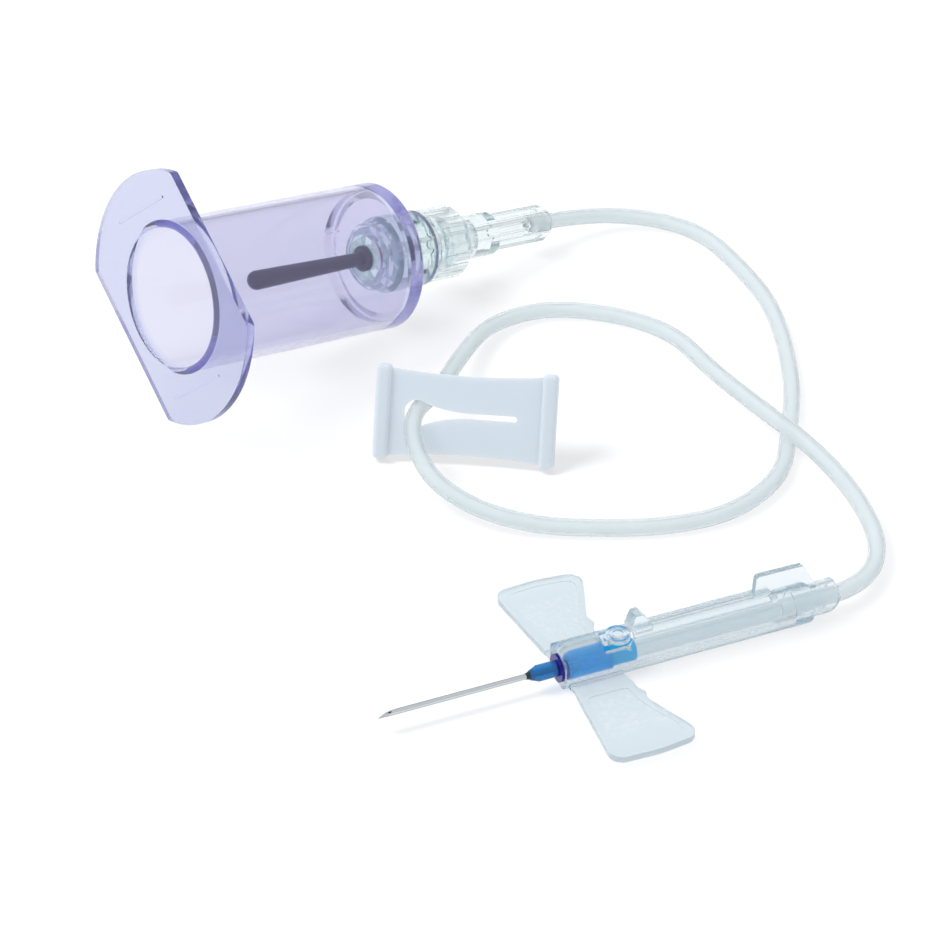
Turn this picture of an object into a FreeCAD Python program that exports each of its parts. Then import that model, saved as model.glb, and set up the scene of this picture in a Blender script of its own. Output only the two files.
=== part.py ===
"""Winged blood-collection set with a sliding needle shield, lying on a table.

The needle line runs along X with the needle's point towards -X.  The origin is
on the table, under the middle of the wing roots.  All sizes are millimetres.
"""
import FreeCAD, Part
import math
import os

V = FreeCAD.Vector
X_AXIS = V(1, 0, 0)

# Running and assembly clearances
fit_gap = 0.02            # glued or pressed pieces, on the radius
slide_gap = 0.10          # hub inside the shield, on the radius
hinge_gap = 0.05          # between a hinged edge and what carries it
rest_gap = 0.02           # between the lowest piece and the table

# Cannula
cannula_diameter = 0.65
cannula_bore = 0.37
cannula_exposed = 19.0
cannula_seat = 6.0        # length held inside the hub
bevel_length = 2.1
side_bevel_angle = 14.0
glue_length = 0.5
glue_diameter = 1.1

# Needle hub
nose_tip_diameter = 1.2
nose_diameter = 2.0
nose_cone_length = 1.0
nose_pin_length = 2.4
flange_diameter = 3.5
flange_thickness = 0.9
flange_proud = 0.3        # how far the flange stands out of the shield
hub_front_diameter = 3.6
hub_front_length = 5.6
hub_rear_diameter = 2.9
hub_rear_length = 3.2
hub_passage = 1.3
hub_socket_depth = 3.0

# Needle shield
wing_root_length = 6.8
front_lip = 0.35          # shield in front of the wing roots
shield_wall = 0.45
shield_bottom_radius = 1.7
shield_travel = 24.0
side_wall_above = 2.05    # top of the side walls above the needle line
rib_radius = 1.3
rib_above = 1.6           # middle of the roof's rib above the needle line
rib_slot_radius = 0.75
hood_length = 5.2
hood_above = 3.2
hood_edge_radius = 1.1
hood_rear_radius = 0.7
roof_end = 28.2           # from the shield's front face
dome_end = 32.9
dome_above = 2.6
dome_edge_radius = 0.8
tail_length = 3.3         # behind the dome
tail_radius = 2.05
tail_chamfer_run = 1.6
tail_chamfer_rise = 3.0
tail_bore_gap = 0.35
latch_window_width = 3.5
ledge_thickness = 0.7
ledge_reach = 0.35
fin_thickness = 0.8
fin_points = ((25.2, 1.9), (25.5, 5.8), (31.7, 5.7), (33.8, 1.8))
fin_corner = 0.5
tab_width = 1.8
tab_points = ((9.45, 1.6), (9.45, 3.25), (8.8, 3.4), (9.5, 5.15),
              (10.3, 5.15), (11.7, 3.4), (11.7, 1.6))

# Latch tongue with its ring button
tongue_thickness = 0.7
tongue_width = 1.8
tongue_above = 2.1        # underside above the needle line
ring_radius = 1.5
ring_groove_outer = 1.08
ring_groove_inner = 0.66
ring_groove_depth = 0.4
ring_from_face = 7.6
pawl_length = 0.6
pawl_width = 1.4
pawl_drop = 0.18

# Wings
wing_height = 1.15        # middle of the wing's thickness above the table
hinge_strip = 0.4
wing_thickness = 0.8
wing_recess = 0.15
far_wing_lift = 1.5       # degrees, how the wings lie
near_wing_lift = 0.3
wing_outline = ((-3.4, 0.0), (-3.35, 0.9), (-4.75, 14.1), (1.1, 14.4), (7.0, 13.7),
                (3.8, 5.5), (4.15, 4.1), (3.6, 3.3), (3.4, 0.0))
wing_radii = (0.0, 0.5, 1.7, 14.0, 1.7, 0.6, 0.35, 0.8, 0.0)
wing_pocket = ((-2.5, 2.6), (-3.65, 13.0), (1.1, 13.3), (5.7, 12.65), (2.85, 5.6), (2.5, 2.6))
wing_pocket_radii = (0.5, 1.2, 14.0, 1.2, 2.0, 0.5)

# Tube holder
barrel_radius = 9.9
barrel_bore_radius = 9.0
barrel_length = 34.3
barrel_end_wall = 1.2
barrel_edge_radius = 0.3
barrel_inner_bevel = 1.2  # between the wall and the closed end
mouth_radius = 0.8
holder_flange_radius = 16.6
holder_flange_half_width = 12.0
holder_flange_thickness = 1.15
holder_flange_corner = 1.0
grip_line_offset = 12.0
grip_line_length = 11.0
grip_line_width = 0.35
grip_line_height = 0.15
grip_line_angle = 15.0
boss_radius = 4.5
boss_step = 0.7
boss_nose_radius = 3.8
boss_length = 1.5
thread_radius = 3.2

# Luer adapter, lock collar and connector, measured outwards from the holder
holder_heading = 15.6
holder_roll = 33.8
holder_end_place = (7.34, 82.8)
shoulder_diameter = 10.4
shoulder_start = 0.1
shoulder_end = 6.75
adapter_neck_diameter = 6.4
adapter_bore = 1.4
male_luer_base = 4.25
male_luer_length = 6.4
luer_taper = 0.06
collar_gap = 0.3
collar_diameter = 9.5
collar_end = 13.35
collar_bore_radius = 3.75
collar_web = 1.3
collar_rib_count = 20
collar_rib_height = 0.2
collar_rib_width = 0.7
connector_start = 9.0
connector_body_end = 19.75
connector_end = 29.7
connector_body_diameter = 6.0
lug_diameter = 7.1
lug_length = 1.0
grip_core_diameter = 3.6
grip_fin_span = 5.3
grip_fin_thickness = 0.9
grip_fin_count = 6
connector_socket_depth = 4.0

# Rear needle and its rubber sleeve
rear_needle_diameter = 0.8
rear_needle_reach = 20.0
sleeve_tip_diameter = 2.6
sleeve_root_diameter = 1.85
sleeve_reach = 21.8
sleeve_seat = 1.0         # where the sleeve's collar is seated inside the stub
sleeve_collar_diameter = 3.5
sleeve_collar_length = 2.3
sleeve_collar_bevel = 0.5

# Slide clamp
clamp_length = 23.3
clamp_height = 12.1
clamp_plate_height = 11.4
clamp_waist = 10.1
clamp_thickness = 0.9
clamp_lip_width = 2.0
clamp_lip_thickness = 2.2
clamp_lip_rounding = 0.6
clamp_eye_radius = 1.7
clamp_eye_from_middle = -6.2
clamp_mouth_cos = 0.55    # where the throat leaves the eye
clamp_throat_run = 3.0    # how gently the throat runs into the slot
clamp_throat_end = 0.4
clamp_slot_width = 0.75
clamp_slot_end = 6.6
clamp_heading = -30.46
clamp_lean = 28.67
clamp_place = (5.22, 48.13)

# Tubing
tube_diameter = 2.2
tube_lead = 35.75         # where the tube starts to bend, from the holder's end
tube_route = (
    (51.0, 90.0, 1.5), (56.6, 83.6, 1.12), (57.3, 73.5, 1.12), (56.8, 61.8, 1.12),
    (50.7, 44.6, 1.12), (44.4, 34.0, 1.12), (39.2, 25.8, 1.12), (29.9, 21.1, 1.12),
    (20.8, 21.9, 1.12), (13.1, 24.9, 1.12), (6.1, 28.3, 1.3), (-0.2, 33.0, 2.6),
    (-3.8, 40.0, 4.2), (-2.1, 50.1, 6.0), (5.0, 55.6, 5.5), (11.1, 64.2, 3.3),
    (19.6, 73.5, 1.4), (30.3, 74.0, 1.12), (41.3, 63.8, 1.12), (41.5, 49.5, 2.4),
    (41.8, 36.5, 6.3), (43.9, 25.0, 6.3), (44.7, 14.8, 3.0), (42.8, 5.9, 1.5),
    (36.2, 0.2, 2.1), (28.0, 0.0, 2.3), (15.6, 0.0, 2.3),
)

# Worked-out values
cavity_radius = hub_front_diameter / 2 + slide_gap
shield_half_width = cavity_radius + shield_wall
axis_height = shield_half_width
front_face = -(wing_root_length / 2 + front_lip)
flange_front = front_face - flange_proud
hub_front_start = flange_front + flange_thickness
hub_front_end = hub_front_start + hub_front_length
hub_end = hub_front_end + hub_rear_length
nose_start = flange_front - nose_pin_length - nose_cone_length
hinge_from_face = hood_length + hinge_gap + tongue_thickness / 2
wing_hinge_reach = shield_half_width + ledge_reach + hinge_gap + hinge_strip / 2
shield_length = dome_end + tail_length


def holder_tilt():
    """Angle at which the flange's corner and the barrel's end both touch the table."""
    level = holder_flange_half_width - holder_flange_corner
    across = math.sqrt((holder_flange_radius - holder_flange_corner) ** 2 - level ** 2)
    roll = math.radians(holder_roll)
    corner = across * math.sin(roll) + level * math.cos(roll) + holder_flange_corner
    run = barrel_length - holder_flange_thickness - barrel_edge_radius
    rise = corner - (barrel_radius - barrel_edge_radius)
    lift = barrel_edge_radius + rest_gap
    return math.atan2(rise, run) - math.asin(lift / math.hypot(run, rise))


tilt = holder_tilt()
holder_end_height = ((barrel_radius - barrel_edge_radius) * math.cos(tilt)
                     + barrel_edge_radius * (1 - math.sin(tilt)) + rest_gap)
holder_place = FreeCAD.Placement(
    V(holder_end_place[0], holder_end_place[1], holder_end_height),
    FreeCAD.Rotation(holder_heading, math.degrees(tilt), holder_roll))
clamp_rise = ((clamp_height / 2 - clamp_lip_rounding) * math.cos(math.radians(clamp_lean))
              + (clamp_lip_thickness / 2 - clamp_lip_rounding) * math.sin(math.radians(clamp_lean))
              + clamp_lip_rounding + rest_gap)
clamp_frame = FreeCAD.Placement(
    V(clamp_place[0], clamp_place[1], clamp_rise),
    FreeCAD.Rotation(clamp_heading, 0, -clamp_lean))


def edges_of(points, radii, closed):
    """Straight runs joined by tangent arcs; a radius of 0 leaves the corner sharp."""
    points = [V(*p) for p in points]
    count = len(points)
    leaving, arriving, arcs = list(points), list(points), [None] * count
    for i in range(count):
        if radii[i] == 0 or (not closed and i in (0, count - 1)):
            continue
        back = (points[i - 1] - points[i]).normalize()
        ahead = (points[(i + 1) % count] - points[i]).normalize()
        half = back.getAngle(ahead) / 2
        reach = radii[i] / math.tan(half)
        middle = (back + ahead).normalize() * (radii[i] / math.sin(half) - radii[i])
        arriving[i] = points[i] + back * reach
        leaving[i] = points[i] + ahead * reach
        arcs[i] = Part.Arc(arriving[i], points[i] + middle, leaving[i]).toShape()
    edges = []
    for i in range(count):
        if arcs[i]:
            edges.append(arcs[i])
        if i + 1 < count or closed:
            edges.append(Part.LineSegment(leaving[i], arriving[(i + 1) % count]).toShape())
    return edges


def face_of(points, radii=None):
    """A flat face with the given corners, rounded where a radius is given."""
    radii = radii or [0] * len(points)
    return Part.Face(Part.Wire(edges_of(points, radii, True)))


def turned(profile, rounded=None):
    """A solid turned about X from (x, radius) corners; rounded gives a corner's own rounding."""
    points = [(x, 0, radius) for x, radius in profile]
    radii = [(rounded or {}).get(i, 0) for i in range(len(points))]
    return face_of(points, radii).revolve(V(0, 0, 0), X_AXIS, 360)


def rod(start, end, radius, height=0.0, side=0.0):
    """A cylinder along X."""
    return Part.makeCylinder(radius, end - start, V(start, side, height), X_AXIS)


def block(low, high):
    """A box between two corners."""
    low, high = V(*low), V(*high)
    size = high - low
    return Part.makeBox(size.x, size.y, size.z, low)


def on_needle_line(shape):
    """Lift a piece that was made about X onto the needle line."""
    shape.translate(V(0, 0, axis_height))
    return shape


def shield_section(half_width, top, top_radius):
    """The shield's outline across X, its bottom flat on the table."""
    bottom = -axis_height
    corners = [(0, -half_width, top), (0, -half_width, bottom),
               (0, half_width, bottom), (0, half_width, top)]
    radii = [top_radius, shield_bottom_radius, shield_bottom_radius, top_radius]
    return face_of(corners, radii)


def shield_run(start, end, top, top_radius, half_width=shield_half_width):
    """A length of the shield's moulding, measured from its front face."""
    run = shield_section(half_width, top, top_radius).extrude(V(end - start, 0, 0))
    run.translate(V(front_face + start, 0, 0))
    return run


def side_plate(points, width, radii=None):
    """A plate on the shield's middle plane, from points above the needle line."""
    corners = [(front_face + x, -width / 2, z) for x, z in points]
    return face_of(corners, radii).extrude(V(0, width, 0))


def end_arcs(shape, x):
    """The rounded upper edges of a moulding's end face."""
    return [e for e in shape.Edges
            if abs(e.CenterOfMass.x - x) < 1e-6 and e.CenterOfMass.z > 0.5
            and e.Curve.TypeId == "Part::GeomCircle"]


def make_cannula():
    point = nose_start - cannula_exposed
    radius = cannula_diameter / 2
    tube = rod(point, nose_start + cannula_seat, radius).cut(
        rod(point - 1, nose_start + cannula_seat + 1, cannula_bore / 2))
    above = face_of([(point, -1, -radius), (point + bevel_length, -1, radius),
                     (point, -1, 1.5), (point - 1, -1, 1.5), (point - 1, -1, -radius)])
    tube = tube.cut(above.extrude(V(0, 2, 0)))
    for side in (-1, 1):
        grind = Part.makeBox(bevel_length, 1, 2, V(0, 0, -1))
        if side < 0:
            grind.translate(V(0, -1, 0))
        grind.rotate(V(0, 0, 0), V(0, 0, 1), side * side_bevel_angle)
        grind.translate(V(point, side * cannula_bore * 0.25, 0))
        tube = tube.cut(grind)
    return on_needle_line(tube)


def make_glue():
    """The collar of glue that holds the cannula in the hub's nose."""
    inner = cannula_diameter / 2 + fit_gap / 2
    return on_needle_line(turned([(nose_start - glue_length, inner), (nose_start, inner),
                                  (nose_start, glue_diameter / 2),
                                  (nose_start - glue_length * 0.4, glue_diameter * 0.42),
                                  (nose_start - glue_length, inner + 0.05)]))


def make_hub():
    bore = cannula_diameter / 2 + fit_gap / 2
    cannula_end = nose_start + cannula_seat
    socket = hub_end - hub_socket_depth
    profile = [
        (nose_start, bore), (nose_start, nose_tip_diameter / 2),
        (nose_start + nose_cone_length, nose_diameter / 2), (flange_front, nose_diameter / 2),
        (flange_front, flange_diameter / 2), (hub_front_start, flange_diameter / 2),
        (hub_front_start, hub_front_diameter / 2 - 0.35),
        (hub_front_start + 0.4, hub_front_diameter / 2 - 0.35),
        (hub_front_start + 0.4, hub_front_diameter / 2),
        (hub_front_end, hub_front_diameter / 2), (hub_front_end, hub_rear_diameter / 2),
        (hub_end, hub_rear_diameter / 2), (hub_end, tube_diameter / 2 + fit_gap),
        (socket, tube_diameter / 2 + fit_gap), (socket, hub_passage / 2),
        (cannula_end, hub_passage / 2), (cannula_end, bore)]
    return on_needle_line(turned(profile))


def make_shield():
    side = shield_run(0, roof_end, side_wall_above, 0.25)
    hood = shield_run(0, hood_length, hood_above, shield_half_width - 0.05)
    hood = hood.makeFillet(hood_edge_radius, end_arcs(hood, front_face))
    hood = hood.makeFillet(hood_rear_radius, end_arcs(hood, front_face + hood_length))
    rib_start = front_face + ring_from_face + latch_window_width / 2
    rib = rod(rib_start, front_face + roof_end, rib_radius, rib_above)
    dome = shield_run(roof_end - 0.6, dome_end, dome_above, shield_half_width - 0.05)
    dome = dome.makeFillet(dome_edge_radius, end_arcs(dome, front_face + roof_end - 0.6)
                           + end_arcs(dome, front_face + dome_end))
    tail = rod(front_face + roof_end, front_face + shield_length, tail_radius)
    body = side.fuse([hood, rib, dome, tail,
                      side_plate(fin_points, fin_thickness, (0, fin_corner, fin_corner, 0)),
                      side_plate(tab_points, tab_width)])
    for hand in (-1, 1):
        low = min(hand * (shield_half_width - 0.3), hand * (shield_half_width + ledge_reach))
        high = max(hand * (shield_half_width - 0.3), hand * (shield_half_width + ledge_reach))
        middle = wing_height - axis_height
        body = body.fuse(block((-wing_root_length / 2, low, middle - ledge_thickness / 2),
                               (wing_root_length / 2, high, middle + ledge_thickness / 2)))
    wide_end = hub_front_end + shield_travel + 0.15
    narrow_end = hub_end + shield_travel + 0.15
    ring_middle = front_face + ring_from_face
    window_floor = 0.6
    window_top = tongue_above + tongue_thickness + 0.2
    window = block((front_face + hood_length, -latch_window_width / 2, window_floor),
                   (ring_middle, latch_window_width / 2, window_top))
    window = window.fuse(Part.makeCylinder(
        latch_window_width / 2, window_top - window_floor, V(ring_middle, 0, window_floor)))
    slot_start = rib_start - 0.5
    slot_end = front_face + roof_end - 0.7
    rib_slot = rod(slot_start, slot_end, rib_slot_radius, rib_above).fuse(
        block((slot_start, -rib_slot_radius, 0), (slot_end, rib_slot_radius, rib_above)))
    tail_end = front_face + shield_length
    heel = side_plate([(shield_length - tail_chamfer_run, -axis_height - 1),
                       (shield_length - tail_chamfer_run, -axis_height),
                       (shield_length, -axis_height + tail_chamfer_rise),
                       (shield_length + 1, -axis_height + tail_chamfer_rise),
                       (shield_length + 1, -axis_height - 1)], 4 * axis_height)
    body = body.cut([
        rod(front_face - 1, wide_end, cavity_radius),
        rod(wide_end - 0.1, narrow_end, hub_rear_diameter / 2 + slide_gap),
        rod(narrow_end - 0.1, tail_end + 1, tube_diameter / 2 + tail_bore_gap),
        window, rib_slot, heel])
    return on_needle_line(body.removeSplitter())


def make_latch():
    """A sprung tongue behind the hood; its ring is the button for the thumb."""
    hinge = front_face + hinge_from_face
    ring = front_face + ring_from_face
    middle = tongue_above + tongue_thickness / 2
    barrel = Part.makeCylinder(tongue_thickness / 2, tongue_width,
                               V(hinge, -tongue_width / 2, middle), V(0, 1, 0))
    arm = block((hinge, -tongue_width / 2, tongue_above),
                (ring, tongue_width / 2, tongue_above + tongue_thickness))
    disc = Part.makeCylinder(ring_radius, tongue_thickness, V(ring, 0, tongue_above))
    latch = barrel.fuse([arm, disc])
    groove_floor = V(ring, 0, tongue_above + tongue_thickness - ring_groove_depth)
    groove = Part.makeCylinder(ring_groove_outer, 1, groove_floor).cut(
        Part.makeCylinder(ring_groove_inner, 1, groove_floor))
    pawl_start = hub_front_end + 0.25
    pawl = block((pawl_start, -pawl_width / 2, tongue_above - pawl_drop),
                 (pawl_start + pawl_length, pawl_width / 2, tongue_above + 0.1))
    return on_needle_line(latch.cut(groove).fuse(pawl).removeSplitter())


def make_wing(hand, lift):
    """One wing, made flat beside its hinge, then tilted to the way it lies."""
    corners = [(x, y, -wing_thickness / 2) for x, y in wing_outline]
    plate = face_of(corners, wing_radii).extrude(V(0, 0, wing_thickness))
    strip_end = 1.5
    thin = (wing_thickness - hinge_strip) / 2
    for low, high in ((-wing_thickness, -wing_thickness / 2 + thin),
                      (wing_thickness / 2 - thin, wing_thickness)):
        plate = plate.cut(block((-10, -1, low), (10, strip_end, high)))
    root = Part.makeCylinder(hinge_strip / 2, wing_root_length,
                             V(-wing_root_length / 2, 0, 0), X_AXIS)
    plate = plate.fuse(root)
    pocket = face_of([(x, y, wing_thickness / 2 - wing_recess) for x, y in wing_pocket],
                     wing_pocket_radii).extrude(V(0, 0, 1))
    plate = plate.cut(pocket).removeSplitter()
    if hand < 0:
        plate = plate.mirror(V(0, 0, 0), V(0, 1, 0))
    plate.rotate(V(0, 0, 0), X_AXIS, hand * lift)
    plate.translate(V(0, hand * wing_hinge_reach, wing_height))
    return plate


def make_holder():
    flange_face = -barrel_length
    wall = barrel_end_wall
    boss_end = -wall - boss_length
    sleeve = turned([
        (flange_face, barrel_bore_radius), (flange_face, barrel_radius + 0.6),
        (flange_face + holder_flange_thickness + 0.5, barrel_radius), (0, barrel_radius),
        (0, thread_radius), (boss_end, thread_radius), (boss_end, boss_nose_radius),
        (-wall - boss_step, boss_nose_radius), (-wall - boss_step, boss_radius),
        (-wall, boss_radius), (-wall, barrel_bore_radius - barrel_inner_bevel),
        (-wall - barrel_inner_bevel, barrel_bore_radius)],
        {0: mouth_radius, 3: barrel_edge_radius})
    flange = rod(flange_face, flange_face + holder_flange_thickness, holder_flange_radius)
    flange = flange.common(block(
        (flange_face - 1, -holder_flange_radius, -holder_flange_half_width),
        (flange_face + 4, holder_flange_radius, holder_flange_half_width)))
    corners = [e for e in flange.Edges if e.Curve.TypeId == "Part::GeomLine"
               and abs(e.tangentAt(e.FirstParameter).x) > 0.9
               and abs(abs(e.CenterOfMass.z) - holder_flange_half_width) < 1e-6]
    flange = flange.makeFillet(holder_flange_corner, corners)
    flange = flange.cut(rod(flange_face - 1, flange_face + 4, barrel_bore_radius + mouth_radius))
    body = sleeve.fuse(flange)
    for hand in (-1, 1):
        line = block((flange_face - grip_line_height, -grip_line_width / 2, -grip_line_length / 2),
                     (flange_face + 0.5, grip_line_width / 2, grip_line_length / 2))
        line.translate(V(0, hand * grip_line_offset, 0))
        line.rotate(V(0, 0, 0), X_AXIS, grip_line_angle)
        body = body.fuse(line)
    body.Placement = holder_place
    return body


def make_adapter():
    """The threaded stub, the smooth shoulder and the male taper, in one moulding."""
    bore = adapter_bore / 2
    stub = thread_radius - fit_gap
    taper_start = shoulder_end
    neck_end = shoulder_end + collar_gap + collar_web + 0.3
    tip = neck_end + male_luer_length
    base = male_luer_base / 2
    stub_end = -barrel_end_wall - boss_length + 0.2
    pocket = sleeve_collar_diameter / 2 + 0.05
    pocket_floor = -sleeve_seat + 0.05
    body = turned([
        (stub_end, pocket), (stub_end, stub),
        (shoulder_start, stub), (shoulder_start, shoulder_diameter / 2 - 0.6),
        (shoulder_start + 0.6, shoulder_diameter / 2), (taper_start - 0.4, shoulder_diameter / 2),
        (taper_start, shoulder_diameter / 2 - 0.4), (taper_start, adapter_neck_diameter / 2),
        (neck_end, adapter_neck_diameter / 2), (neck_end, base),
        (tip, base - luer_taper / 2 * male_luer_length), (tip, bore),
        (0.6, bore), (0.6, rear_needle_diameter / 2 + fit_gap / 2),
        (pocket_floor, rear_needle_diameter / 2 + fit_gap / 2), (pocket_floor, pocket)])
    body.Placement = holder_place
    return body


def make_collar():
    """The ribbed ring whose thread pulls the connector onto the taper."""
    start = shoulder_end + collar_gap
    outer = collar_diameter / 2
    neck = adapter_neck_diameter / 2 + fit_gap
    body = turned([
        (start, neck), (start, outer - 0.3), (start + 0.3, outer),
        (collar_end - 0.9, outer), (collar_end, outer - 0.7), (collar_end, collar_bore_radius),
        (start + collar_web, collar_bore_radius), (start + collar_web, neck)])
    ribs = []
    for i in range(collar_rib_count):
        rib = block((start + 0.5, -collar_rib_width / 2, outer - 0.3),
                    (collar_end - 1.2, collar_rib_width / 2, outer + collar_rib_height))
        rib.rotate(V(0, 0, 0), X_AXIS, i * 360 / collar_rib_count)
        ribs.append(rib)
    body = body.fuse(ribs)
    body.Placement = holder_place
    return body


def make_connector():
    """The female luer that the tubing is glued into, with its finned grip."""
    body_radius = connector_body_diameter / 2
    neck_end = shoulder_end + collar_gap + collar_web + 0.3
    start = max(connector_start, neck_end + 0.3)
    socket_end = neck_end + male_luer_length + 0.6
    socket = male_luer_base / 2 + fit_gap
    socket_mouth = socket - luer_taper / 2 * (start - neck_end)
    socket_floor = socket - luer_taper / 2 * (socket_end - neck_end)
    tube_bore = tube_diameter / 2 + fit_gap
    tube_stop = connector_end - connector_socket_depth
    core = grip_core_diameter / 2
    body = turned([
        (start, socket_mouth), (start, lug_diameter / 2), (start + lug_length, lug_diameter / 2),
        (start + lug_length, body_radius), (connector_body_end - 0.6, body_radius),
        (connector_body_end, body_radius - 0.6), (connector_body_end, core),
        (connector_end, core), (connector_end, tube_bore), (tube_stop, tube_bore),
        (tube_stop, adapter_bore / 2), (socket_end, adapter_bore / 2),
        (socket_end, socket_floor)])
    fins = []
    for i in range(grip_fin_count):
        fin = face_of([(connector_body_end - 0.3, -grip_fin_thickness / 2, core - 0.2),
                       (connector_end - 0.4, -grip_fin_thickness / 2, core - 0.2),
                       (connector_end - 0.4, -grip_fin_thickness / 2, grip_fin_span / 2 - 0.5),
                       (connector_end - 1.6, -grip_fin_thickness / 2, grip_fin_span / 2),
                       (connector_body_end - 0.3, -grip_fin_thickness / 2, grip_fin_span / 2)])
        fin = fin.extrude(V(0, grip_fin_thickness, 0))
        fin.rotate(V(0, 0, 0), X_AXIS, i * 360 / grip_fin_count - holder_roll)
        fins.append(fin)
    body = body.fuse(fins)
    body.Placement = holder_place
    return body


def make_rear_needle():
    body = rod(-rear_needle_reach, 2.0, rear_needle_diameter / 2)
    body.Placement = holder_place
    return body


def make_sleeve():
    """The rubber sleeve over the rear needle, with its seating collar."""
    bore = rear_needle_diameter / 2 + fit_gap
    radius = sleeve_tip_diameter / 2
    collar = sleeve_collar_diameter / 2
    collar_start = -sleeve_seat - sleeve_collar_length
    tube_start = -sleeve_reach + radius
    body = turned([
        (tube_start, 0), (tube_start, radius), (collar_start, sleeve_root_diameter / 2),
        (collar_start, collar - sleeve_collar_bevel / 2),
        (collar_start + sleeve_collar_bevel / 2, collar), (-sleeve_seat - sleeve_collar_bevel, collar),
        (-sleeve_seat, collar - sleeve_collar_bevel), (-sleeve_seat, bore),
        (-rear_needle_reach - 0.2, bore), (-rear_needle_reach - 0.2, 0)])
    body = body.fuse(Part.makeSphere(radius, V(tube_start, 0, 0)).common(
        rod(-sleeve_reach - 1, tube_start, radius + 1)))
    body.Placement = holder_place
    return body


def make_clamp():
    """A waisted plate with lips at both ends and a keyhole that pinches the tube."""
    half_length, half_height = clamp_length / 2 - clamp_lip_width / 2, clamp_plate_height / 2
    half_waist = clamp_waist / 2
    front = -clamp_thickness / 2
    through = 4 * clamp_thickness
    top = Part.Arc(V(-half_length, front, half_height), V(0, front, half_waist),
                   V(half_length, front, half_height)).toShape()
    right = Part.LineSegment(V(half_length, front, half_height),
                             V(half_length, front, -half_height)).toShape()
    bottom = Part.Arc(V(half_length, front, -half_height), V(0, front, -half_waist),
                      V(-half_length, front, -half_height)).toShape()
    left = Part.LineSegment(V(-half_length, front, -half_height),
                            V(-half_length, front, half_height)).toShape()
    plate = Part.Face(Part.Wire([top, right, bottom, left])).extrude(V(0, clamp_thickness, 0))
    for hand in (-1, 1):
        middle = hand * half_length
        lip = block((middle - clamp_lip_width / 2, -clamp_lip_thickness / 2, -clamp_height / 2),
                    (middle + clamp_lip_width / 2, clamp_lip_thickness / 2, clamp_height / 2))
        plate = plate.fuse(lip.makeFillet(clamp_lip_rounding, lip.Edges))
    half_slot = clamp_slot_width / 2
    eye = Part.makeCylinder(clamp_eye_radius, through, V(clamp_eye_from_middle, -through / 2, 0),
                            V(0, 1, 0))
    mouth_x = clamp_eye_from_middle + clamp_eye_radius * clamp_mouth_cos
    mouth_z = clamp_eye_radius * math.sqrt(1 - clamp_mouth_cos ** 2) - 0.01
    upper, lower = Part.BezierCurve(), Part.BezierCurve()
    for curve, hand in ((upper, 1), (lower, -1)):
        curve.setPoles([V(mouth_x, -through / 2, hand * mouth_z),
                        V(clamp_throat_end - clamp_throat_run, -through / 2, hand * half_slot),
                        V(clamp_throat_end, -through / 2, hand * half_slot)])
    ends = [Part.LineSegment(V(x, -through / 2, -z), V(x, -through / 2, z)).toShape()
            for x, z in ((mouth_x, mouth_z), (clamp_throat_end, half_slot))]
    throat = Part.Face(Part.Wire(Part.__sortEdges__(
        [upper.toShape(), ends[1], lower.toShape(), ends[0]]))).extrude(V(0, through, 0))
    slot = block((clamp_throat_end - 0.2, -through / 2, -half_slot),
                 (clamp_slot_end - half_slot, through / 2, half_slot))
    slot_round = Part.makeCylinder(half_slot, through,
                                   V(clamp_slot_end - half_slot, -through / 2, 0), V(0, 1, 0))
    body = plate.cut([eye, throat, slot, slot_round])
    body.Placement = clamp_frame
    return body.removeSplitter()


def on_holder_line(distance):
    return holder_place.multVec(V(distance, 0, 0))


def make_tubing():
    """The tube along its route: straight runs and the largest tangent arcs."""
    start = on_holder_line(connector_end - connector_socket_depth + fit_gap)
    route = [tuple(start), tuple(on_holder_line(tube_lead))]
    route += list(tube_route)
    route.append((hub_end - hub_socket_depth + fit_gap, 0, axis_height))
    points = [V(*p) for p in route]
    radii = [0.0] * len(points)
    length = 0.0
    for i in range(1, len(points) - 1):
        before, after = points[i] - points[i - 1], points[i + 1] - points[i]
        turn = before.getAngle(after)
        radii[i] = 0.45 * min(before.Length, after.Length) / math.tan(turn / 2)
    path = Part.Wire(edges_of(route, radii, False))
    direction = (points[1] - points[0]).normalize()
    ring = Part.Wire(Part.Circle(points[0], direction, tube_diameter / 2).toShape())
    tube = path.makePipeShell([ring], True, False)
    section = math.pi * tube_diameter ** 2 / 4
    print("tube starts at", [tuple(round(c, 2) for c in p) for p in points[:2]])
    print("tube length %.1f, radii %s" % (path.Length, [round(r, 1) for r in radii[1:-1]]))
    print("tube volume %.2f, section x length %.2f" % (tube.Volume, section * path.Length))
    return tube


PIECES = {
    "tube_holder": make_holder,
    "luer_adapter": make_adapter,
    "lock_collar": make_collar,
    "rear_needle": make_rear_needle,
    "rear_sleeve": make_sleeve,
    "luer_connector": make_connector,
    "tubing": make_tubing,
    "slide_clamp": make_clamp,
    "needle_shield": make_shield,
    "latch_button": make_latch,
    "left_wing": lambda: make_wing(1, far_wing_lift),
    "right_wing": lambda: make_wing(-1, near_wing_lift),
    "needle_hub": make_hub,
    "needle": make_cannula,
    "glue_bead": make_glue,
}


def main():
    os.makedirs("parts", exist_ok=True)
    for name, make in PIECES.items():
        shape = make()
        box = shape.BoundBox
        print("%-15s solids %d valid %s volume %8.2f  z %.3f to %.3f" % (
            name, len(shape.Solids), shape.isValid(), shape.Volume, box.ZMin, box.ZMax))
        shape.exportStep("parts/%s.step" % name)


main()
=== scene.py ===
# %% [markdown]
# # A winged blood-collection set
#
# A fine needle sits in a blue hub, inside a clear sliding shield with two wings. Thin tubing runs in a
# loose loop to a luer connector and a violet tube holder, and a slide clamp hangs on the tubing.
#
# The solids that come with the frame already have the real sizes and forms, so most of this lesson is
# about finishes: how violet, watery, milky and rubbery plastics differ, and which light shows that.
# Only the tubing gets a mesh of its own, because a real tube is hollow.

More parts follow.
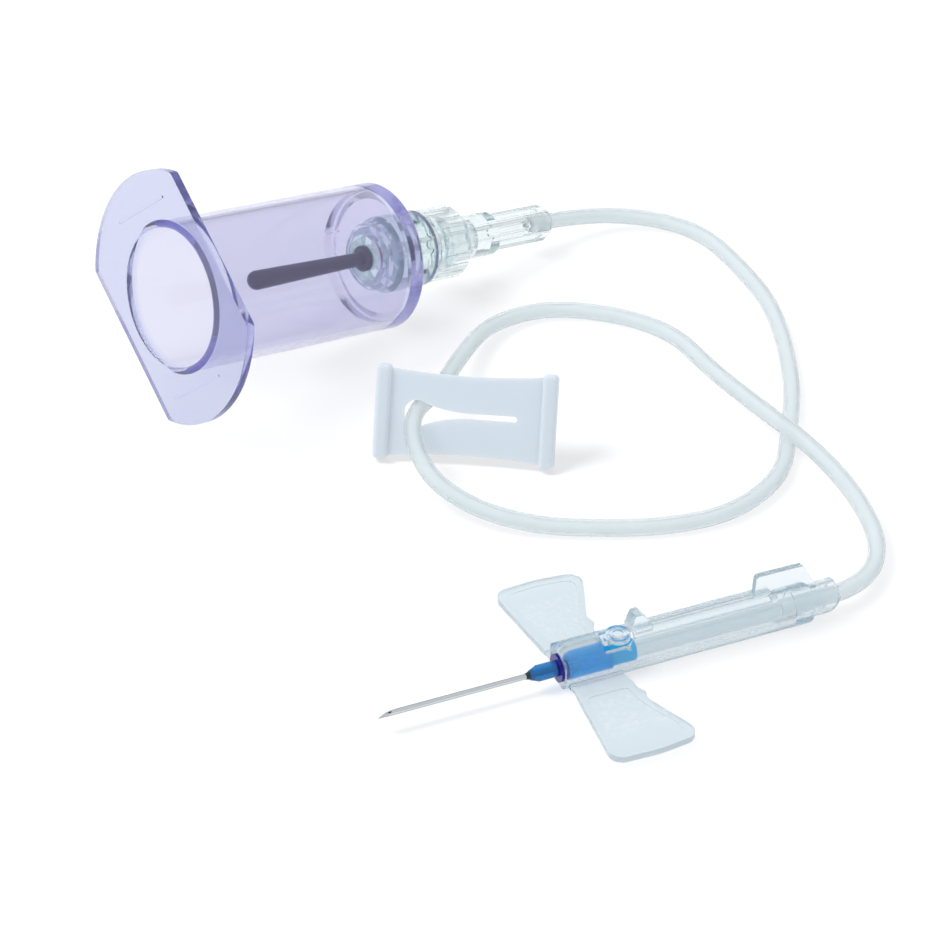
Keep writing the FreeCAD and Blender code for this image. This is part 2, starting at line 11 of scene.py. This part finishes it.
# %% The part as it comes
import math

import bmesh
import bpy
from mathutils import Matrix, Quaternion, Vector


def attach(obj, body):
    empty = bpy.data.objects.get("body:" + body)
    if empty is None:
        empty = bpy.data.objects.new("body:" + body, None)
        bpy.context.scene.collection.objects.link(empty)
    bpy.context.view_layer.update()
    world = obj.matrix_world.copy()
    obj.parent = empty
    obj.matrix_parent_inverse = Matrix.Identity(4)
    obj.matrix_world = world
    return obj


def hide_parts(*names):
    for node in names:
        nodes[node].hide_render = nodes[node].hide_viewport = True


MM = 0.001
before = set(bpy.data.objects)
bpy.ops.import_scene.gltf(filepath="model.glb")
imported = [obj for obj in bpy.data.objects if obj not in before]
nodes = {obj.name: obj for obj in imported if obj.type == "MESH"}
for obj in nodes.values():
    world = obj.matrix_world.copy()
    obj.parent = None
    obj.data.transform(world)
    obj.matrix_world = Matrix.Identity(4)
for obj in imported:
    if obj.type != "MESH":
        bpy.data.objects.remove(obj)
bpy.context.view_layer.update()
print("pieces:", ", ".join(sorted(nodes)))

# %% [markdown]
# ## Camera
#
# The picture was taken with a long lens, from above and in front of the set, looking across the needle
# line. A camera can be dragged into place by eye, but then it is hard to correct. Here it is placed by
# the point it looks at, its turn round the set, its height angle and its distance, so that each of them
# can be changed by itself.

# %% Place the camera
LOOK_AT = Vector((4.33, 43.08, 0.0)) * MM
CAMERA_AZIMUTH = math.radians(-23.474)
CAMERA_ELEVATION = math.radians(34.86)
CAMERA_DISTANCE = 450.3 * MM
LENS = 134.34


def make_camera():
    flat = math.cos(CAMERA_ELEVATION)
    ahead = Vector((-math.sin(CAMERA_AZIMUTH) * flat, math.cos(CAMERA_AZIMUTH) * flat,
                    -math.sin(CAMERA_ELEVATION)))
    data = bpy.data.cameras.new("camera")
    data.lens = LENS
    data.clip_start = 0.01
    camera = bpy.data.objects.new("camera", data)
    camera.location = LOOK_AT - ahead * CAMERA_DISTANCE
    camera.rotation_euler = ahead.to_track_quat("-Z", "Y").to_euler()
    bpy.context.scene.collection.objects.link(camera)
    bpy.context.scene.camera = camera
    return camera


camera = make_camera()
print("camera at", [round(v / MM, 1) for v in camera.location], "mm")

# %% [markdown]
# ## Table
#
# The set lies on a plain white table. A large plane with a dull white material is enough: it has almost
# no gloss, so it shows the soft shadows and nothing else.

# %% Lay the table
FLOOR_SIZE = 3.0
FLOOR_WHITE = (0.93, 0.93, 0.93, 1)


def make_floor():
    bpy.ops.mesh.primitive_plane_add(size=FLOOR_SIZE, location=(0, 0, 0))
    floor = bpy.context.object
    floor.name = "floor"
    mat = bpy.data.materials.new("floor_white")
    mat.use_nodes = True
    shader = mat.node_tree.nodes["Principled BSDF"]
    shader.inputs["Base Color"].default_value = FLOOR_WHITE
    shader.inputs["Roughness"].default_value = 0.9
    shader.inputs["Specular IOR Level"].default_value = 0.1
    floor.data.materials.append(mat)
    return floor


floor = make_floor()
print("table:", floor.name, FLOOR_SIZE, "m wide")

# %% [markdown]
# ## Sky
#
# Clear plastic has hardly any colour of its own: what is seen is what it bends and mirrors. Under an
# even white sky on a white table it would vanish. A photographer puts darker cards round the set, so
# that edges pick them up. Here the sky does that: it is bright overhead, a little darker towards the
# horizon, and darkest low on the far side.

# %% Make the sky
SKY_HIGH = (0.95, 0.955, 0.975, 1)
SKY_NEAR = (0.74, 0.75, 0.77, 1)
SKY_FAR = (0.44, 0.46, 0.50, 1)
SKY_STRENGTH = 0.86
FAR_SIDE = (0.398, 0.917, 0.0)
NEAR_UP_TO, FAR_FROM = 0.2, 0.9
LOW_UP_TO, HIGH_FROM = 0.02, 0.36


def make_sky():
    world = bpy.data.worlds.new("studio")
    world.use_nodes = True
    tree = world.node_tree
    add, link = tree.nodes.new, tree.links.new
    background = tree.nodes["Background"]
    background.inputs["Strength"].default_value = SKY_STRENGTH
    coords = add("ShaderNodeTexCoord")
    side = add("ShaderNodeVectorMath")
    side.operation = "DOT_PRODUCT"
    side.inputs[1].default_value = FAR_SIDE
    horizon = add("ShaderNodeValToRGB")
    near, far = horizon.color_ramp.elements
    near.position, near.color = NEAR_UP_TO, SKY_NEAR
    far.position, far.color = FAR_FROM, SKY_FAR
    split = add("ShaderNodeSeparateXYZ")
    height = add("ShaderNodeMapRange")
    height.inputs["From Min"].default_value = LOW_UP_TO
    height.inputs["From Max"].default_value = HIGH_FROM
    blend = add("ShaderNodeMix")
    blend.data_type = "RGBA"
    blend.inputs[7].default_value = SKY_HIGH
    link(coords.outputs["Generated"], side.inputs[0])
    link(side.outputs["Value"], horizon.inputs["Fac"])
    link(coords.outputs["Generated"], split.inputs[0])
    link(split.outputs["Z"], height.inputs["Value"])
    link(height.outputs["Result"], blend.inputs["Factor"])
    link(horizon.outputs["Color"], blend.inputs[6])
    link(blend.outputs[2], background.inputs["Color"])
    bpy.context.scene.world = world
    return world


sky = make_sky()
print("sky:", sky.name)

# %% [markdown]
# ## Lamps
#
# One broad soft lamp stands at the upper left and a weaker one behind on the right. They light the table
# and the milky pieces and give the shadows a direction. A lamp mirrored in clear plastic would burn a
# white disc into it, so both are hidden from mirrored and bent rays.

# %% Set the lamps
def soft_lamp(name, place, size, power):
    data = bpy.data.lights.new(name, "AREA")
    data.shape = "DISK"
    data.size = size
    data.energy = power
    lamp = bpy.data.objects.new(name, data)
    lamp.location = place
    lamp.rotation_euler = (LOOK_AT - Vector(place)).to_track_quat("-Z", "Y").to_euler()
    lamp.visible_glossy = False
    lamp.visible_transmission = False
    bpy.context.scene.collection.objects.link(lamp)
    return lamp


key = soft_lamp("key", place=(-0.55, 0.35, 0.85), size=0.45, power=4.4)
rim = soft_lamp("rim", place=(0.35, 0.75, 0.45), size=0.30, power=1.0)
bpy.context.scene.view_settings.view_transform = "Standard"
print("lamps:", key.name, rim.name)

# %% [markdown]
# ## Light inside the plastic
#
# Light that enters a clear moulding is thrown from face to face many times before it leaves by an edge.
# With the usual number of bounces those edges turn black. Making the edges paler by hand would only
# hide that. More bounces let them glow in the plastic's own colour, at the cost of some time.

# %% Let light bounce on
INNER_BOUNCES = 32
light_paths = bpy.context.scene.cycles
light_paths.max_bounces = INNER_BOUNCES
light_paths.transmission_bounces = INNER_BOUNCES
light_paths.glossy_bounces = INNER_BOUNCES
print("bounces inside plastic:", light_paths.transmission_bounces)

# %% [markdown]
# ## Tools for surface patterns
#
# A pattern that several finishes share is best kept in one node group, with its own inputs and outputs.
# These small helpers make such a group and its sums. A mask is a value from 0 to 1: it rises or falls
# smoothly between two places on the piece, and masks are multiplied to mark out an area. All places
# are read in the part's own frame in millimetres, so a pattern stays on its piece when the piece moves.

# %% Start a group and do sums in it
def new_group(name, outputs, inputs=()):
    group = bpy.data.node_groups.new(name, "ShaderNodeTree")
    for label, kind, value in inputs:
        socket = group.interface.new_socket(label, in_out="INPUT", socket_type=kind)
        socket.default_value = value
    for label, kind in outputs:
        group.interface.new_socket(label, in_out="OUTPUT", socket_type=kind)
    start = group.nodes.new("NodeGroupInput")
    end = group.nodes.new("NodeGroupOutput")
    return group, start, end


def maths(group, operation, first, second=None, third=None):
    """One Math node; a value may be a number or another node's output."""
    node = group.nodes.new("ShaderNodeMath")
    node.operation = operation
    for socket, value in zip(node.inputs, (first, second, third)):
        if value is None:
            continue
        if isinstance(value, (int, float)):
            socket.default_value = value
        else:
            group.links.new(value, socket)
    return node.outputs[0]


print("helpers:", new_group.__name__, maths.__name__)


# %% Make masks and read places
def rises(group, value, low, high):
    """A mask that rises smoothly from 0 to 1 between two values."""
    node = group.nodes.new("ShaderNodeMapRange")
    node.interpolation_type = "SMOOTHSTEP"
    node.inputs["From Min"].default_value = low
    node.inputs["From Max"].default_value = high
    group.links.new(value, node.inputs["Value"])
    return node.outputs["Result"]


def falls(group, value, low, high):
    return maths(group, "SUBTRACT", 1.0, rises(group, value, low, high))


def overlap(group, mask, *others):
    """The area that all the masks share."""
    for other in others:
        mask = maths(group, "MULTIPLY", mask, other)
    return mask


def places_in_mm(group):
    """The surface point in the part's own frame: as a vector, and as x, y and z."""
    coords = group.nodes.new("ShaderNodeTexCoord")
    scale = group.nodes.new("ShaderNodeVectorMath")
    scale.operation = "SCALE"
    scale.inputs["Scale"].default_value = 1 / MM
    split = group.nodes.new("ShaderNodeSeparateXYZ")
    group.links.new(coords.outputs["Object"], scale.inputs[0])
    group.links.new(scale.outputs[0], split.inputs[0])
    return scale.outputs[0], split.outputs["X"], split.outputs["Y"], split.outputs["Z"]


print("helpers:", rises.__name__, falls.__name__, overlap.__name__, places_in_mm.__name__)

# %% [markdown]
# ## The moulded surface
#
# A moulding is never quite even: it has slow waves from cooling and a haze that changes from place to
# place. A picture of such a surface could be wrapped round each piece, but that needs unwrapping. Noise
# in the part's own space needs none and fits every piece. One group gives the bent normal and the
# changing roughness, and it also takes a height from a finer pattern, so that both share one bump.

# %% The moulded surface
BUMP_DEPTH = 0.2 * MM
HAZE_SCALE = 0.09


def moulded_group():
    group, start, end = new_group(
        "moulded_surface", [("Normal", "NodeSocketVector"), ("Roughness", "NodeSocketFloat")],
        [("Scale", "NodeSocketFloat", 0.18), ("Wave", "NodeSocketFloat", 0.1),
         ("Smoothest", "NodeSocketFloat", 0.04), ("Roughest", "NodeSocketFloat", 0.12),
         ("Height", "NodeSocketFloat", 0.0)])
    add, link = group.nodes.new, group.links.new
    place = places_in_mm(group)[0]
    noise = add("ShaderNodeTexNoise")
    noise.inputs["Detail"].default_value = 3.0
    haze = add("ShaderNodeTexNoise")
    haze.inputs["Scale"].default_value = HAZE_SCALE
    haze.inputs["Detail"].default_value = 6.0
    bump = add("ShaderNodeBump")
    bump.inputs["Strength"].default_value = 1.0
    bump.inputs["Distance"].default_value = BUMP_DEPTH
    spread = add("ShaderNodeMapRange")
    link(place, noise.inputs["Vector"])
    link(place, haze.inputs["Vector"])
    link(start.outputs["Scale"], noise.inputs["Scale"])
    waves = maths(group, "MULTIPLY", noise.outputs["Fac"], start.outputs["Wave"])
    link(maths(group, "ADD", waves, start.outputs["Height"]), bump.inputs["Height"])
    link(haze.outputs["Fac"], spread.inputs["Value"])
    link(start.outputs["Smoothest"], spread.inputs["To Min"])
    link(start.outputs["Roughest"], spread.inputs["To Max"])
    link(bump.outputs["Normal"], end.inputs["Normal"])
    link(spread.outputs["Result"], end.inputs["Roughness"])
    return group


MOULDED = moulded_group()
print("pattern:", MOULDED.name)

# %% [markdown]
# ## The wings' pebbled field
#
# Each wing has a field of low pebbles inside a smooth border, so that it doesn't slip between the
# fingers. The pebbles are far too fine for the mesh, and sharp bumps made jagged lines of light in the
# milky plastic. So the height is low and soft, and the mottled look comes mostly from a paler colour in
# small patches. The field's long edges spread outwards as the wing's own edges do.

# %% The pebbled field
FIELD_START, FIELD_END = 5.2, 13.6
FIELD_FRONT, FIELD_REAR = -2.3, 1.2
FRONT_SPREAD, REAR_SPREAD = 0.107, 0.295
PEBBLE_SIZE = 0.75
PEBBLE_HEIGHT = 0.12
MOTTLE_SCALE = 1.9
MOTTLE_FROM, MOTTLE_TO = 0.45, 0.68


def soft_noise(group, place, scale, detail):
    noise = group.nodes.new("ShaderNodeTexNoise")
    noise.inputs["Scale"].default_value = scale
    noise.inputs["Detail"].default_value = detail
    group.links.new(place, noise.inputs["Vector"])
    return noise.outputs["Fac"]


def pebble_group():
    group, _, end = new_group(
        "pebbled_field", [("Height", "NodeSocketFloat"), ("Patch", "NodeSocketFloat")])
    place, x, y, _ = places_in_mm(group)
    out = maths(group, "ABSOLUTE", y)
    front = maths(group, "MULTIPLY_ADD", out, FRONT_SPREAD, x)
    rear = maths(group, "MULTIPLY_ADD", out, -REAR_SPREAD, x)
    inside = overlap(group, rises(group, out, FIELD_START, FIELD_START + 1.4),
                     falls(group, out, FIELD_END - 0.5, FIELD_END),
                     rises(group, front, FIELD_FRONT, FIELD_FRONT + 0.6),
                     falls(group, rear, FIELD_REAR - 0.5, FIELD_REAR))
    pebbles = maths(group, "MULTIPLY", soft_noise(group, place, 1 / PEBBLE_SIZE, 1.0), PEBBLE_HEIGHT)
    mottle = rises(group, soft_noise(group, place, MOTTLE_SCALE, 2.0), MOTTLE_FROM, MOTTLE_TO)
    group.links.new(overlap(group, pebbles, inside), end.inputs["Height"])
    group.links.new(overlap(group, mottle, inside), end.inputs["Patch"])
    return group


PEBBLES = pebble_group()
print("pattern:", PEBBLES.name)

# %% [markdown]
# ## The shield's fine ribs
#
# The shield's two side walls carry rows of fine upright ribs, 0.39 mm apart. Cut into the mesh they
# would need thousands of faces for something hardly seen. A sine wave along the needle line gives the
# same shine, and masks keep it on the flat of the side walls.

# %% The fine ribs
RIB_PITCH = 0.39
RIB_HEIGHT = 0.07
RIBS_FROM, RIBS_TO = 8.85, 22.75
RIBS_BOTTOM, RIBS_TOP = 1.2, 3.8
RIB_END = 0.3
SIDE_WALL_FROM, SIDE_WALL_AT = 2.15, 2.3


def rib_group():
    group, _, end = new_group("grip_ribs", [("Height", "NodeSocketFloat")])
    _, x, y, z = places_in_mm(group)
    out = maths(group, "ABSOLUTE", y)
    side_walls = overlap(group, rises(group, x, RIBS_FROM, RIBS_FROM + RIB_END),
                         falls(group, x, RIBS_TO - RIB_END, RIBS_TO),
                         rises(group, out, SIDE_WALL_FROM, SIDE_WALL_AT))
    upright = overlap(group, rises(group, z, RIBS_BOTTOM, RIBS_BOTTOM + RIB_END),
                      falls(group, z, RIBS_TOP - RIB_END, RIBS_TOP))
    turn = maths(group, "MULTIPLY", x, 2 * math.pi / RIB_PITCH)
    wave = maths(group, "MULTIPLY_ADD", maths(group, "SINE", turn), 0.5, 0.5)
    ribs = overlap(group, wave, side_walls, upright)
    group.links.new(maths(group, "MULTIPLY", ribs, RIB_HEIGHT), end.inputs["Height"])
    return group


RIBS = rib_group()
print("pattern:", RIBS.name)

# %% [markdown]
# ## The holder's flange: painted shade
#
# The holder is one moulding, but its flange looks deeper and duller than its thin barrel. That deeper
# colour is painted shade: it stands in for the table's shadow seen through the thicker plate. The flange
# could be cut off and given a second material. A mask keeps the moulding whole: it marks every point
# within a plate's depth of the mouth, measured along the barrel's own slanting line.

# %% The flange's painted shade
MOUTH = Vector((-25.09, 73.74, 16.22))
MOUTH_AXIS = Vector((-0.9456, -0.2640, 0.1903))
FLANGE_DEPTH = 1.25
COLOUR_EDGE = 0.1


# Marks the flange for its painted shade, a deeper colour than the barrel.
def flange_shade_group():
    group, _, end = new_group("flange_painted_shade", [("Patch", "NodeSocketFloat")])
    along = group.nodes.new("ShaderNodeVectorMath")
    along.operation = "DOT_PRODUCT"
    along.inputs[1].default_value = MOUTH_AXIS
    group.links.new(places_in_mm(group)[0], along.inputs[0])
    back_face = MOUTH.dot(MOUTH_AXIS) - FLANGE_DEPTH
    group.links.new(rises(group, along.outputs["Value"], back_face - COLOUR_EDGE, back_face),
                    end.inputs["Patch"])
    return group


FLANGE = flange_shade_group()
print("pattern:", FLANGE.name)

# %% [markdown]
# ## The hub's dark ring and nose
#
# Where the hub's flange sits in the shield's mouth, light is caught between the two and the blue turns
# to a dark violet. The nose ahead of it is solid and looks deeper than the hollow rear. Both are painted
# shade, a darker colour marked by their place along the needle line: the ring in full, the nose by half.

# %% The dark ring and nose
HUB_FLANGE_FROM, HUB_FLANGE_TO = -4.15, -3.10
NOSE_DEEPER = 0.5


# Marks the painted shade of the dark ring and the nose.
def hub_seat_group():
    group, _, end = new_group("hub_seat", [("Patch", "NodeSocketFloat")])
    x = places_in_mm(group)[1]
    at_flange = rises(group, x, HUB_FLANGE_FROM - COLOUR_EDGE, HUB_FLANGE_FROM)
    depth = maths(group, "MULTIPLY_ADD", at_flange, 1 - NOSE_DEEPER, NOSE_DEEPER)
    ahead = falls(group, x, HUB_FLANGE_TO, HUB_FLANGE_TO + COLOUR_EDGE)
    group.links.new(overlap(group, depth, ahead), end.inputs["Patch"])
    return group


HUB_SEAT = hub_seat_group()
print("pattern:", HUB_SEAT.name)

# %% [markdown]
# ## Clear plastic
#
# The holder, the shield, the wings, the luer pieces, the hub and the tubing are clear or milky mouldings.
# A half transparent paint would be the cheap way, but it has no thickness. Here light bends in the
# walls, and a dye in the volume tints it by the depth that it crosses, so that edges look deeper than
# faces. A share of body colour gives the milky ones their cloud. Shadow rays pass through, which keeps
# the shadows as pale as those of real plastic.

# %% Clear plastic
def clear_plastic(name, tint, depth, clearness, ior, haze, body, shadow=(0.9, 0.9, 0.9), wave=0.02,
                  pattern=None, patch=None):
    mat = bpy.data.materials.new(name)
    mat.use_nodes = True
    tree = mat.node_tree
    add, link = tree.nodes.new, tree.links.new
    out = tree.nodes["Material Output"]
    shader = tree.nodes["Principled BSDF"]
    shader.inputs["Base Color"].default_value = (*body, 1)
    shader.inputs["Transmission Weight"].default_value = clearness
    shader.inputs["IOR"].default_value = ior
    skin = add("ShaderNodeGroup")
    skin.node_tree = MOULDED
    skin.inputs["Wave"].default_value = wave
    skin.inputs["Smoothest"].default_value = haze[0]
    skin.inputs["Roughest"].default_value = haze[1]
    link(skin.outputs["Normal"], shader.inputs["Normal"])
    link(skin.outputs["Roughness"], shader.inputs["Roughness"])
    if pattern:
        marks = add("ShaderNodeGroup")
        marks.node_tree = pattern
        if "Height" in marks.outputs:
            link(marks.outputs["Height"], skin.inputs["Height"])
        if patch:
            colours = add("ShaderNodeMix")
            colours.data_type = "RGBA"
            colours.inputs[6].default_value = (*body, 1)
            colours.inputs[7].default_value = (*patch, 1)
            link(marks.outputs["Patch"], colours.inputs[0])
            link(colours.outputs[2], shader.inputs["Base Color"])
    through = add("ShaderNodeBsdfTransparent")
    through.inputs["Color"].default_value = (*shadow, 1)
    path = add("ShaderNodeLightPath")
    choose = add("ShaderNodeMixShader")
    link(path.outputs["Is Shadow Ray"], choose.inputs[0])
    link(shader.outputs[0], choose.inputs[1])
    link(through.outputs[0], choose.inputs[2])
    link(choose.outputs[0], out.inputs["Surface"])
    dye = add("ShaderNodeVolumeAbsorption")
    dye.inputs["Color"].default_value = (*tint, 1)
    dye.inputs["Density"].default_value = depth
    link(dye.outputs[0], out.inputs["Volume"])
    return mat


print("helper:", clear_plastic.__name__)

# %% [markdown]
# ## Plain finishes
#
# Steel, rubber, glue and the clamp's milky plastic can't be looked through, so they need no bent light.
# They share the moulded surface, and light may soak a little way into the clamp.

# %% Plain finishes
SOAK_DEPTH = 1.5 * MM


def plain(name, colour, roughness, metallic=0.0, edge=(1, 1, 1), soak=0.0, wave=0.05):
    mat = bpy.data.materials.new(name)
    mat.use_nodes = True
    tree = mat.node_tree
    shader = tree.nodes["Principled BSDF"]
    shader.inputs["Base Color"].default_value = (*colour, 1)
    shader.inputs["Metallic"].default_value = metallic
    shader.inputs["Specular Tint"].default_value = (*edge, 1)
    shader.inputs["Subsurface Weight"].default_value = soak
    shader.inputs["Subsurface Radius"].default_value = (1, 1, 1)
    shader.inputs["Subsurface Scale"].default_value = SOAK_DEPTH
    skin = tree.nodes.new("ShaderNodeGroup")
    skin.node_tree = MOULDED
    skin.inputs["Wave"].default_value = wave
    skin.inputs["Smoothest"].default_value = roughness * 0.8
    skin.inputs["Roughest"].default_value = roughness * 1.2
    tree.links.new(skin.outputs["Normal"], shader.inputs["Normal"])
    tree.links.new(skin.outputs["Roughness"], shader.inputs["Roughness"])
    return mat


def dress(node, mat):
    """Gives a solid its finish. It throws no coloured light on the table, which stays neutral."""
    piece = nodes[node]
    for slot in piece.material_slots:
        slot.material = mat
    if not piece.material_slots:
        piece.data.materials.append(mat)
    piece.visible_diffuse = False
    print(node, "wears", mat.name)


print("helpers:", plain.__name__, dress.__name__)

# %% [markdown]
# ## Tube holder
#
# The holder is a violet moulding that a collection tube is pushed into. Its colour is weak in one wall
# and strong along the rims, so most of it comes from the dye, and only a little from the surface. A
# small share of body colour makes it look slightly milky. The flange gets painted shade: the deeper
# colour of its mask.

# %% Dress the holder
# patch: the flange's painted shade, deeper than the body colour.
violet = clear_plastic("holder_violet", (0.50, 0.50, 0.87), 80.0, clearness=0.955, ior=1.42,
                       haze=(0.03, 0.07), wave=0.03, body=(0.80, 0.80, 0.90), pattern=FLANGE,
                       patch=(0.66, 0.68, 0.83), shadow=(0.91, 0.91, 0.91))
dress("tube_holder", violet)

# %% [markdown]
# ## Luer pieces
#
# The adapter, the ribbed collar and the connector are harder and clearer, like thin glass with a green
# cast. They bend light more than the holder does, so their threads and fins sparkle.

# %% Dress the luer pieces
watery = clear_plastic("luer_clear", (0.40, 0.70, 0.72), 42.0, clearness=0.985, ior=1.5,
                       haze=(0.02, 0.06), wave=0.04, body=(0.965, 0.978, 0.98))
for piece in ("luer_adapter", "lock_collar", "luer_connector"):
    dress(piece, watery)

# %% [markdown]
# ## Shield and latch
#
# The shield and its latch are one moulding in a softer plastic with a satin haze. The hub has to be
# seen through it, so the cloud is kept low and the haze comes from a rougher surface instead.

# %% Dress the shield
satin = clear_plastic("shield_clear", (0.55, 0.76, 0.84), 130.0, clearness=0.975, ior=1.33,
                      haze=(0.16, 0.26), body=(0.92, 0.95, 0.965), pattern=RIBS)
for piece in ("needle_shield", "latch_button"):
    dress(piece, satin)

# %% [markdown]
# ## Wings
#
# The wings are soft and cloudy, and nothing is seen through them but light and dark. More than a
# quarter of the light is scattered by the body, and the surface is rougher than the shield's.

# %% Dress the wings
cloudy = clear_plastic("wing_clear", (0.50, 0.68, 0.76), 220.0, clearness=0.70, ior=1.33,
                       haze=(0.30, 0.42), body=(0.79, 0.86, 0.89), pattern=PEBBLES,
                       patch=(0.87, 0.92, 0.94))
for piece in ("left_wing", "right_wing"):
    dress(piece, cloudy)

# %% [markdown]
# ## Hub, glue and needles
#
# The hub's blue tells the needle's size, so it is dyed strongly and still lets some light through. The
# bead of glue is dark where it holds the steel. Both needles are drawn steel: a plain metal, grey
# enough to stand out from the white table. The shader's edge tint is set dark, a painted reflection that
# darkens its rim as the dark corners of a room do on a real needle.

# %% Dress the hub, the glue and the needles
# patch: painted shade on the dark ring and the nose.
blue = clear_plastic("hub_blue", (0.02, 0.62, 0.90), 700.0, clearness=0.72, ior=1.42,
                     haze=(0.03, 0.06), body=(0.0, 0.57, 0.95), pattern=HUB_SEAT,
                     patch=(0.04, 0.01, 0.26), shadow=(0.55, 0.75, 0.9))
dress("needle_hub", blue)
dress("glue_bead", plain("glue_dark", (0.0, 0.02, 0.03), 0.12))
# edge: a dark edge tint, a painted reflection of dark surroundings at the rim.
steel = plain("needle_steel", (0.62, 0.66, 0.68), 0.12, metallic=1.0, edge=(0.0, 0.03, 0.05),
              wave=0.0)
for piece in ("needle", "rear_needle"):
    dress(piece, steel)

# %% [markdown]
# ## Clamp and rubber sleeve
#
# The clamp is milky polypropylene. It could be a clear plastic with much cloud, but nothing shows
# through it, so light that soaks into a pale surface looks the same and renders faster. The sleeve over
# the rear needle is soft rubber, almost black with a violet cast.

# %% Dress the clamp and the sleeve
dress("slide_clamp", plain("clamp_milky", (0.64, 0.71, 0.77), 0.32, soak=0.5))
dress("rear_sleeve", plain("sleeve_rubber", (0.022, 0.016, 0.085), 0.36))

# %% [markdown]
# ## The tubing's route
#
# The tubing is soft clear vinyl, 2.2 mm outside with a 1.3 mm bore. It leaves the connector, lies in a
# wide loop on the table, rises through the clamp, passes over itself and enters the back of the shield.
# A chain of straight runs would show its corners. The route's given points are the control points of
# one NURBS curve instead, and its smooth middle line is read back as a row of points.

# %% Read the route's middle line
TUBE_ROUTE = (
    (31.66, 89.59, 4.79), (41.14, 92.24, 2.88),
    (51.0, 90.0, 1.5), (56.6, 83.6, 1.12), (57.3, 73.5, 1.12), (56.8, 61.8, 1.12),
    (50.7, 44.6, 1.12), (44.4, 34.0, 1.12), (39.2, 25.8, 1.12), (29.9, 21.1, 1.12),
    (20.8, 21.9, 1.12), (13.1, 24.9, 1.12), (6.1, 28.3, 1.3), (-0.2, 33.0, 2.6),
    (-3.8, 40.0, 4.2), (-2.1, 50.1, 6.0), (5.0, 55.6, 5.5), (11.1, 64.2, 3.3),
    (19.6, 73.5, 1.4), (30.3, 74.0, 1.12), (41.3, 63.8, 1.12), (41.5, 49.5, 1.9),
    (41.8, 36.5, 4.0), (43.9, 25.0, 4.0), (44.7, 14.8, 2.4), (42.5, 5.9, 1.5),
    (36.2, 0.2, 2.1), (28.0, 0.0, 2.3), (15.6, 0.0, 2.3), (2.67, 0.0, 2.35),
)
STEPS_PER_POINT = 14
CLOSEST_POINTS = 0.05 * MM


def route_points():
    curve = bpy.data.curves.new("route", "CURVE")
    curve.dimensions = "3D"
    curve.resolution_u = STEPS_PER_POINT
    spline = curve.splines.new("NURBS")
    spline.points.add(len(TUBE_ROUTE) - 1)
    for point, place in zip(spline.points, TUBE_ROUTE):
        point.co = (*(Vector(place) * MM), 1)
    spline.order_u = 3
    spline.use_endpoint_u = True
    carrier = bpy.data.objects.new("route", curve)
    bpy.context.scene.collection.objects.link(carrier)
    line = bpy.data.meshes.new_from_object(carrier)
    points = [line.vertices[0].co.copy()]
    for vertex in line.vertices:
        if (vertex.co - points[-1]).length > CLOSEST_POINTS:
            points.append(vertex.co.copy())
    bpy.data.objects.remove(carrier)
    bpy.data.meshes.remove(line)
    return points


middle_line = route_points()
run = sum((b - a).length for a, b in zip(middle_line, middle_line[1:]))
print("tube is", round(run / MM, 1), "mm long on", len(middle_line), "points")

# %% [markdown]
# ## The tube itself
#
# A curve with a round bevel would make a solid rod, and a rod bends light like a lens. A real wall
# bends it as a hollow tube does. So rings are carried along the line without twisting, one set for the
# outside and one for the bore, and flat rings close the wall at both ends.

# %% Sweep the tube
TUBE_DIAMETER = 2.2 * MM
TUBE_BORE = 1.3 * MM
TUBE_SIDES = 28


def swept_tube(name, path, outer, inner):
    bm = bmesh.new()
    heading = (path[1] - path[0]).normalized()
    across = heading.orthogonal().normalized()
    skins = {outer: [], inner: []}
    for i, place in enumerate(path):
        ahead = (path[min(i + 1, len(path) - 1)] - path[max(i - 1, 0)]).normalized()
        across = (heading.rotation_difference(ahead) @ across)
        across = (across - ahead * across.dot(ahead)).normalized()
        heading = ahead
        for radius, rings in skins.items():
            rings.append([bm.verts.new(place + Quaternion(ahead, 2 * math.pi * k / TUBE_SIDES)
                                       @ across * radius) for k in range(TUBE_SIDES)])
    for radius, rings in skins.items():
        for low, high in zip(rings, rings[1:]):
            for k in range(TUBE_SIDES):
                face = [low[k], low[k - 1], high[k - 1], high[k]]
                bm.faces.new(face if radius == inner else face[::-1]).smooth = True
    for end in (0, -1):
        for k in range(TUBE_SIDES):
            face = [skins[outer][end][k], skins[outer][end][k - 1],
                    skins[inner][end][k - 1], skins[inner][end][k]]
            bm.faces.new(face if end == 0 else face[::-1])
    mesh = bpy.data.meshes.new(name)
    bm.to_mesh(mesh)
    bm.free()
    tube = bpy.data.objects.new(name, mesh)
    bpy.context.scene.collection.objects.link(tube)
    return tube


tube = swept_tube("tube", middle_line, TUBE_DIAMETER / 2, TUBE_BORE / 2)
print("tube has", len(tube.data.polygons), "faces")

# %% [markdown]
# ## The tube's finish and place
#
# Vinyl is cloudier than the hard pieces and has a faint green cast that deepens in the wall. The tube
# rides with the line and stands in for the solid tubing.

tube.data.materials.append(
    clear_plastic("tube_vinyl", (0.60, 0.78, 0.78), 130.0, clearness=0.70, ior=1.30,
                  haze=(0.15, 0.25), body=(0.87, 0.92, 0.94), shadow=(0.85, 0.85, 0.85)))
tube.visible_diffuse = False
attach(tube, "line")
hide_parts("tubing")
print("tube wears", tube.data.materials[0].name)

# %% [markdown]
# ## Sizes
#
# A finish must not change the part's size.

# %% Finish
print("finishes set")
